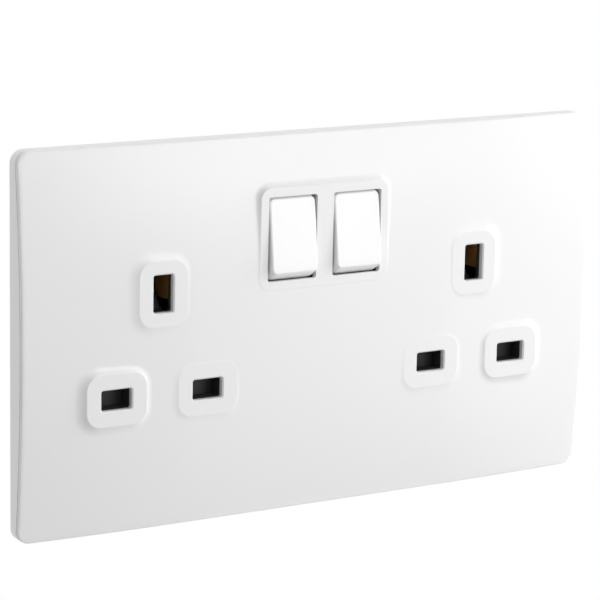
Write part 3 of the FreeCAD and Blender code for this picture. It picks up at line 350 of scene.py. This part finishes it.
# One flat's outline, grown outwards down its cove and inwards over its edge: gives the last loop each way
def makeFlatEdge(shape, flat):
    midX, midZ, width, height, corner = flat[:5]
    made = bmesh.ops.create_circle(shape, segments=4 * plate["cornerParts"], radius=corner,
                                   matrix=Matrix.Rotation(math.radians(90), 4, "X")
                                   @ Matrix.Rotation(math.radians(45 / plate["cornerParts"]), 4, "Z"))
    verts = made["verts"]
    edges = list({edge for vert in verts for edge in vert.link_edges})
    for vert in verts:
        vert.co.x += midX + math.copysign(width / 2 - corner, vert.co.x)
        vert.co.z += midZ + math.copysign(height / 2 - corner, vert.co.z)
    longest = [edge for edge in edges if edge.calc_length() > corner]
    parted = bmesh.ops.subdivide_edges(shape, edges=longest, cuts=plate["sideCuts"])
    edges = list({edge for edge in edges if edge.is_valid}
                 | {item for item in parted["geom"] if isinstance(item, bmesh.types.BMEdge)})
    loops = []
    for steps, part, sign in ((plate["coveSteps"], 1, 1), (plate["edgeSteps"], 0, -1)):
        loop = edges
        for step in range(steps + 1):
            grown = bmesh.ops.extrude_edge_only(shape, edges=loop)["geom"]
            moved = {item for item in grown if isinstance(item, bmesh.types.BMVert)}
            loop = [item for item in grown if isinstance(item, bmesh.types.BMEdge)
                    and item.verts[0] in moved and item.verts[1] in moved]
            for vert in moved:
                distance, way = outsideBy(flat, vert.co.x, vert.co.z)
                root = vert.co.xz - way * distance
                move = way * sign * coveSpans(flat, root.x, root.y)[part] / steps
                vert.co.x += move.x
                vert.co.z += move.y
        loops.append(loop)
    return loops


# Takes the old front off, fills in the new one, cuts it finely and sets each new point's depth
def makeFront(shape):
    flats = raisedFlats()
    gaps = openEdges()
    old = [face for face in shape.faces if isFrontFace(face, gaps)]
    bmesh.ops.delete(shape, geom=old, context="FACES")
    rims = [edge for edge in shape.edges if edge.is_boundary and edge.verts[0].co.y < plate["frontBy"]]
    kept = {tuple(vert.co) for vert in shape.verts}
    outer = []
    for flat in flats:
        coveLoop, edgeLoop = makeFlatEdge(shape, flat)
        outer += coveLoop
        middle = [edge for edge in rims if outsideBy(flat, *edge.verts[0].co.xz)[0] < 0]
        rims = [edge for edge in rims if edge not in set(middle)]
        bmesh.ops.triangle_fill(shape, edges=middle + edgeLoop, use_beauty=True, normal=(0, -1, 0))
    filled = bmesh.ops.triangle_fill(shape, edges=rims + outer, use_beauty=True, normal=(0, -1, 0))["geom"]
    geometry = list({part for face in filled if isinstance(face, bmesh.types.BMFace)
                     for part in (face, *face.edges, *face.verts)})
    for axis, reach in ((0, plate["halfWidth"]), (2, plate["halfHeight"])):
        for number in range(-int(reach / plate["cutEvery"]), int(reach / plate["cutEvery"]) + 1):
            place, normal = Vector((0, 0, 0)), Vector((0, 0, 0))
            place[axis], normal[axis] = number * plate["cutEvery"], 1.0
            geometry = bmesh.ops.bisect_plane(shape, geom=geometry, dist=plate["cutWithin"],
                                              plane_co=place, plane_no=normal)["geom"]
    for vert in shape.verts:
        if tuple(vert.co) not in kept:
            vert.co.y = frontDepth(flats, vert.co.x, vert.co.z)
    bmesh.ops.recalc_face_normals(shape, faces=shape.faces)


# Smooth copies: the fixed model's triangles are merged, so that curved faces shade as one surface
smoothing = {"mergeDistance": 1e-6, "sharpAngle": 28.0}
reshape = {"front_plate": makeFront}


def smoothCopy(node):
    source = frame["nodes"][node]
    piece = source.copy()
    piece.data = source.data.copy()
    piece.name = f"{node}_skin"
    piece.parent = None
    bpy.context.collection.objects.link(piece)
    shape = bmesh.new()
    shape.from_mesh(piece.data)
    bmesh.ops.remove_doubles(shape, verts=shape.verts, dist=smoothing["mergeDistance"])
    bmesh.ops.dissolve_degenerate(shape, dist=smoothing["mergeDistance"], edges=shape.edges)
    if node in reshape:
        reshape[node](shape)
    limit = math.radians(smoothing["sharpAngle"])
    for face in shape.faces:
        face.smooth = True
    for edge in shape.edges:
        edge.smooth = edge.is_manifold and edge.calc_face_angle(0.0) < limit
    shape.to_mesh(piece.data)
    shape.free()
    piece.data.materials.clear()
    piece.data.materials.append(materials[nodeSlots[node]])
    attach(piece, bodyOf[node])
    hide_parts(node)
    return piece


# A spring that a joint presses gets a mesh of its own; it is not pressed here
def pressSpring(piece):
    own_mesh(piece)


pieces = {node: smoothCopy(node) for node in frame["nodes"]}
for joint in frame["record"]["behaviour"]["joints"]:
    for pressed in joint.get("deforming_nodes", []):
        pressSpring(pieces[pressed["node"]])
print("pieces dressed")

# Camera at the photograph's place
camera = {
    "place": (-0.30844, -0.51129, 0.13380),
    "right": (0.85955, -0.51065, 0.02004),
    "down": (-0.09203, -0.19325, -0.97682),
    "forward": (0.50269, 0.83779, -0.21310),
    "lens": 162.94,
    "sensor": 36.0,
    "clip": (0.01, 20.0),
}


def makeCamera():
    data = bpy.data.cameras.new("camera")
    data.lens, data.sensor_width = camera["lens"], camera["sensor"]
    data.clip_start, data.clip_end = camera["clip"]
    eye = bpy.data.objects.new("camera", data)
    scene.collection.objects.link(eye)
    turn = Matrix([camera["right"], [-v for v in camera["down"]], [-v for v in camera["forward"]]]).transposed()
    eye.matrix_world = Matrix.Translation(camera["place"]) @ turn.to_4x4()
    scene.camera = eye


# Soft studio light: large lamps, and a world that is white behind the object
lamps = {
    "above": {"at": (0.05, -0.35, 0.45), "aim": (0, 0, 0), "size": 0.40, "power": 0.60},
    "sideRight": {"at": (0.55, -0.20, 0.15), "aim": (0, 0, 0), "size": 0.40, "power": 1.90},
    "lowRight": {"at": (0.40, -0.40, -0.05), "aim": (0, 0, 0), "size": 0.35, "power": 0.31},
    "nearRight": {"at": (0.22, -0.55, 0.10), "aim": (0, 0, 0), "size": 0.30, "power": 0.94},
    "behindLeft": {"at": (-0.55, 0.30, 0.05), "aim": (0, 0, 0), "size": 0.50, "power": 0.87},
    "behindTop": {"at": (-0.10, 0.30, 0.55), "aim": (0, 0, 0), "size": 0.50, "power": 0.96},
}
surroundings = {
    "ambient": 0.32, "white": (1, 1, 1, 1), "whiteStrength": 1.0,
    "floorDrop": 0.35, "floorSize": 8.0, "floorColour": (0.86, 0.86, 0.86, 1),
}


def makeLamps():
    for name, settings in lamps.items():
        data = bpy.data.lights.new(name, "AREA")
        data.shape, data.size, data.energy = "DISK", settings["size"], settings["power"]
        lamp = bpy.data.objects.new(name, data)
        scene.collection.objects.link(lamp)
        at = Vector(settings["at"])
        lamp.location = at
        lamp.rotation_euler = (Vector(settings["aim"]) - at).to_track_quat("-Z", "Y").to_euler()


def seenDirectly(tree):
    path = addNode(tree, "ShaderNodeLightPath").outputs
    either = mathNode(tree, "MAXIMUM", path["Is Camera Ray"], path["Is Glossy Ray"])
    return mathNode(tree, "MAXIMUM", either, path["Is Transmission Ray"])


def makeWorld():
    world = bpy.data.worlds.new("studio")
    scene.world = world
    world.use_nodes = True
    tree = world.node_tree
    tree.nodes.clear()
    soft = addNode(tree, "ShaderNodeBackground", {"Color": surroundings["white"],
                                                  "Strength": surroundings["ambient"]})
    white = addNode(tree, "ShaderNodeBackground", {"Color": surroundings["white"],
                                                   "Strength": surroundings["whiteStrength"]})
    mixed = addNode(tree, "ShaderNodeMixShader", {0: seenDirectly(tree), 1: soft.outputs[0], 2: white.outputs[0]})
    addNode(tree, "ShaderNodeOutputWorld", {"Surface": mixed.outputs[0]})


def makeFloor():
    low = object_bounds()[0][2] - surroundings["floorDrop"]
    shape = bmesh.new()
    bmesh.ops.create_grid(shape, x_segments=1, y_segments=1, size=surroundings["floorSize"] / 2,
                          matrix=Matrix.Translation((0, 0, low)))
    mesh = bpy.data.meshes.new("floor")
    shape.to_mesh(mesh)
    shape.free()
    floor = bpy.data.objects.new("floor", mesh)
    scene.collection.objects.link(floor)
    material = bpy.data.materials.new("paleFloor")
    material.use_nodes = True
    tree = material.node_tree
    tree.nodes.clear()
    matt = addNode(tree, "ShaderNodeBsdfDiffuse", {"Color": surroundings["floorColour"]})
    white = addNode(tree, "ShaderNodeEmission", {"Color": surroundings["white"],
                                                 "Strength": surroundings["whiteStrength"]})
    mixed = addNode(tree, "ShaderNodeMixShader", {0: seenDirectly(tree), 1: matt.outputs[0], 2: white.outputs[0]})
    addNode(tree, "ShaderNodeOutputMaterial", {"Surface": mixed.outputs[0]})
    mesh.materials.append(material)


makeCamera()
makeLamps()
makeWorld()
makeFloor()
print("camera, lamps and floor set")
